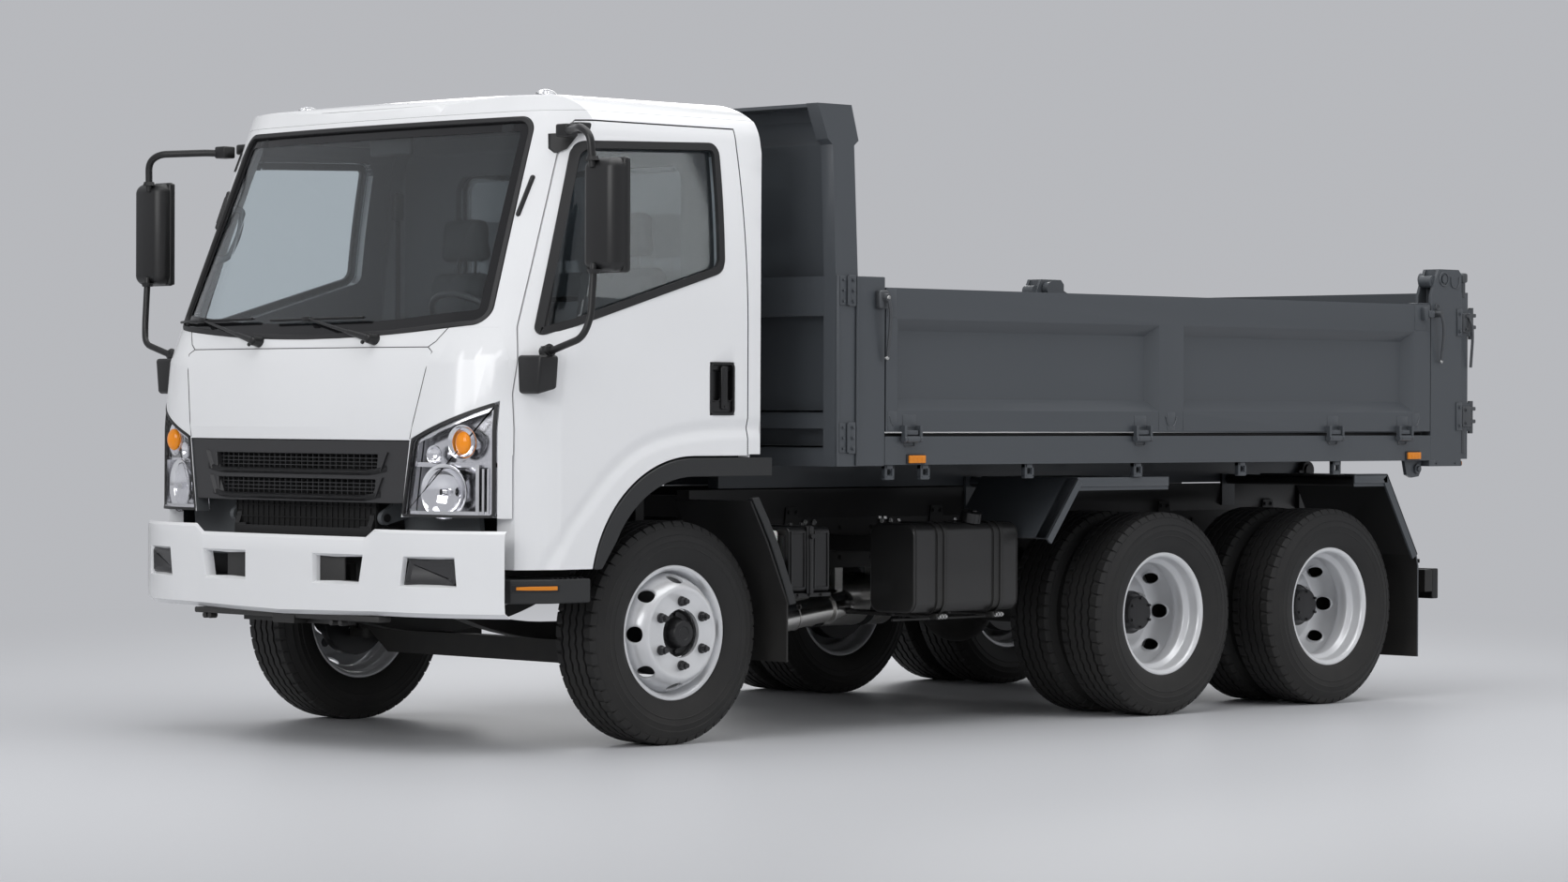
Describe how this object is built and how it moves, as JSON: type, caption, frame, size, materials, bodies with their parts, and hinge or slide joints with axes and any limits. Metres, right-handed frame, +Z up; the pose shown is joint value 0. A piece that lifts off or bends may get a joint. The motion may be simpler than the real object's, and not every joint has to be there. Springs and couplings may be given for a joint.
{
  "type": "dump truck",
  "caption": "Three-axle light dump truck with a tilting cab, steered front wheels, twin rear wheels and a tipping drop-side bed.",
  "frame": {"origin": "on the ground under the middle of the truck", "axes": "-Y to the front, +X to the truck's left, +Z up"},
  "size_m": [2.69, 5.315, 2.272],
  "materials": {
    "cab_paint": "gloss white",
    "bed_paint": "semi-gloss slate grey",
    "chassis_paint": "satin black",
    "bumper_paint": "gloss white",
    "wheel_steel": "silver paint",
    "tyre": "matt black",
    "black_plastic": "grained",
    "interior_plastic": "grained",
    "seat_cloth": "woven",
    "glass": "tinted",
    "lamp_clear": "clear lens",
    "lamp_red": "lens",
    "cast": "black painted",
    "exhaust_steel": "bright steel",
    "chrome_rod": "hard chrome"
  },
  "bodies": {
    "chassis": {"frame_rails": "chassis_paint", "subframe": "chassis_paint", "front_bumper": "bumper_paint", "front_axle": "cast", "leaf_springs": "chassis_paint", "rear_axles": "cast", "drive_train": "cast", "fuel_tank": "chassis_paint", "battery_box": "black_plastic", "exhaust": "exhaust_steel", "side_steps": "black_plastic", "front_mudguards": "black_plastic", "rear_mudguards": "bed_paint", "tail_bar": "chassis_paint", "tail_lamps": "lamp_red"},
    "cab": {"cab_front": "cab_paint", "cab_roof": "cab_paint", "cab_back": "cab_paint", "cab_frame": "cab_paint", "grille": "black_plastic", "headlamps": "lamp_clear", "windshield": "glass", "rear_window": "glass", "cab_floor": "interior_plastic", "seats": "seat_cloth", "dashboard": "interior_plastic", "steering_wheel": "black_plastic", "arch_trims": "black_plastic", "roof_lamps": "lamp_clear"},
    "door_left": {"door_left": "cab_paint", "door_glass_left": "glass", "mirror_left": "black_plastic"},
    "door_right": {"door_right": "cab_paint", "door_glass_right": "glass", "mirror_right": "black_plastic"},
    "knuckle_left": {"knuckle_left": "cast"},
    "knuckle_right": {"knuckle_right": "cast"},
    "tie_rod": {"tie_rod": "chassis_paint"},
    "front_wheel_left": {"front_wheel_left": "wheel_steel", "front_tyre_left": "tyre"},
    "front_wheel_right": {"front_wheel_right": "wheel_steel", "front_tyre_right": "tyre"},
    "middle_wheels_left": {"middle_wheels_left": "wheel_steel", "middle_tyres_left": "tyre"},
    "middle_wheels_right": {"middle_wheels_right": "wheel_steel", "middle_tyres_right": "tyre"},
    "rear_wheels_left": {"rear_wheels_left": "wheel_steel", "rear_tyres_left": "tyre"},
    "rear_wheels_right": {"rear_wheels_right": "wheel_steel", "rear_tyres_right": "tyre"},
    "bed": {"bed_floor": "bed_paint", "headboard": "bed_paint", "front_posts": "bed_paint", "rear_posts": "bed_paint"},
    "drop_side_left": {"drop_side_left": "bed_paint"},
    "drop_side_right": {"drop_side_right": "bed_paint"},
    "tailgate": {"tailgate": "bed_paint"},
    "hoist_barrel": {"hoist_barrel": "chassis_paint"},
    "hoist_rod": {"hoist_rod": "chrome_rod"}
  },
  "joints": [
    {"name": "cab_tilt", "type": "hinge", "parent": "chassis", "child": "cab", "pos_m": [0, -2.5195, 0.79], "axis": [1, 0, 0], "range_deg": [0, 45]},
    {"name": "door_left_hinge", "type": "hinge", "parent": "cab", "child": "door_left", "pos_m": [0.967, -2.4155, 1.2], "axis": [0, 0, -1], "range_deg": [0, 68]},
    {"name": "door_right_hinge", "type": "hinge", "parent": "cab", "child": "door_right", "pos_m": [-0.967, -2.4155, 1.2], "axis": [0, 0, 1], "range_deg": [0, 68]},
    {"name": "steer_left", "type": "hinge", "parent": "chassis", "child": "knuckle_left", "pos_m": [0.735, -1.6675, 0.39], "axis": [0, 0, 1], "range_deg": [-33, 33]},
    {"name": "steer_right", "type": "hinge", "parent": "chassis", "child": "knuckle_right", "pos_m": [-0.735, -1.6675, 0.39], "axis": [0, 0, 1], "range_deg": [-33, 33]},
    {"name": "tie_rod_pin", "type": "hinge", "parent": "knuckle_left", "child": "tie_rod", "pos_m": [0.735, -1.4975, 0.3], "axis": [0, 0, 1], "range_deg": [-33, 33]},
    {"name": "front_left_spin", "type": "hinge", "parent": "knuckle_left", "child": "front_wheel_left", "pos_m": [0.863, -1.6675, 0.39], "axis": [1, 0, 0], "continuous": true},
    {"name": "front_right_spin", "type": "hinge", "parent": "knuckle_right", "child": "front_wheel_right", "pos_m": [-0.863, -1.6675, 0.39], "axis": [1, 0, 0], "continuous": true},
    {"name": "middle_left_spin", "type": "hinge", "parent": "chassis", "child": "middle_wheels_left", "pos_m": [0.872, 0.7595, 0.39], "axis": [1, 0, 0], "continuous": true},
    {"name": "middle_right_spin", "type": "hinge", "parent": "chassis", "child": "middle_wheels_right", "pos_m": [-0.872, 0.7595, 0.39], "axis": [1, 0, 0], "continuous": true},
    {"name": "rear_left_spin", "type": "hinge", "parent": "chassis", "child": "rear_wheels_left", "pos_m": [0.872, 1.7705, 0.39], "axis": [1, 0, 0], "continuous": true},
    {"name": "rear_right_spin", "type": "hinge", "parent": "chassis", "child": "rear_wheels_right", "pos_m": [-0.872, 1.7705, 0.39], "axis": [1, 0, 0], "continuous": true},
    {"name": "bed_tip", "type": "hinge", "parent": "chassis", "child": "bed", "pos_m": [0, 2.4825, 0.92], "axis": [-1, 0, 0], "range_deg": [0, 50]},
    {"name": "side_left_drop", "type": "hinge", "parent": "bed", "child": "drop_side_left", "pos_m": [1.156, 0.7325, 1.062], "axis": [0, 1, 0], "range_deg": [0, 175]},
    {"name": "side_right_drop", "type": "hinge", "parent": "bed", "child": "drop_side_right", "pos_m": [-1.156, 0.7325, 1.062], "axis": [0, -1, 0], "range_deg": [0, 175]},
    {"name": "tailgate_swing", "type": "hinge", "parent": "bed", "child": "tailgate", "pos_m": [0, 2.4445, 1.712], "axis": [1, 0, 0], "range_deg": [0, 75]},
    {"name": "hoist_swing", "type": "hinge", "parent": "chassis", "child": "hoist_barrel", "pos_m": [0, 2.1825, 0.56], "axis": [-1, 0, 0], "range_deg": [0, 46]},
    {"name": "hoist_slide", "type": "slide", "parent": "hoist_barrel", "child": "hoist_rod", "axis": [0, -0.8443, 0.5358], "range_m": [0, 0.4]}
  ],
  "couplings": [
    {"joint": "steer_right", "follows": "steer_left", "ratio": 1},
    {"joint": "tie_rod_pin", "follows": "steer_left", "ratio": -1},
    {"joint": "hoist_swing", "follows": "bed_tip", "ratio": 0.902},
    {"joint": "hoist_slide", "follows": "bed_tip", "m_per_rad": 0.4522}
  ]
}
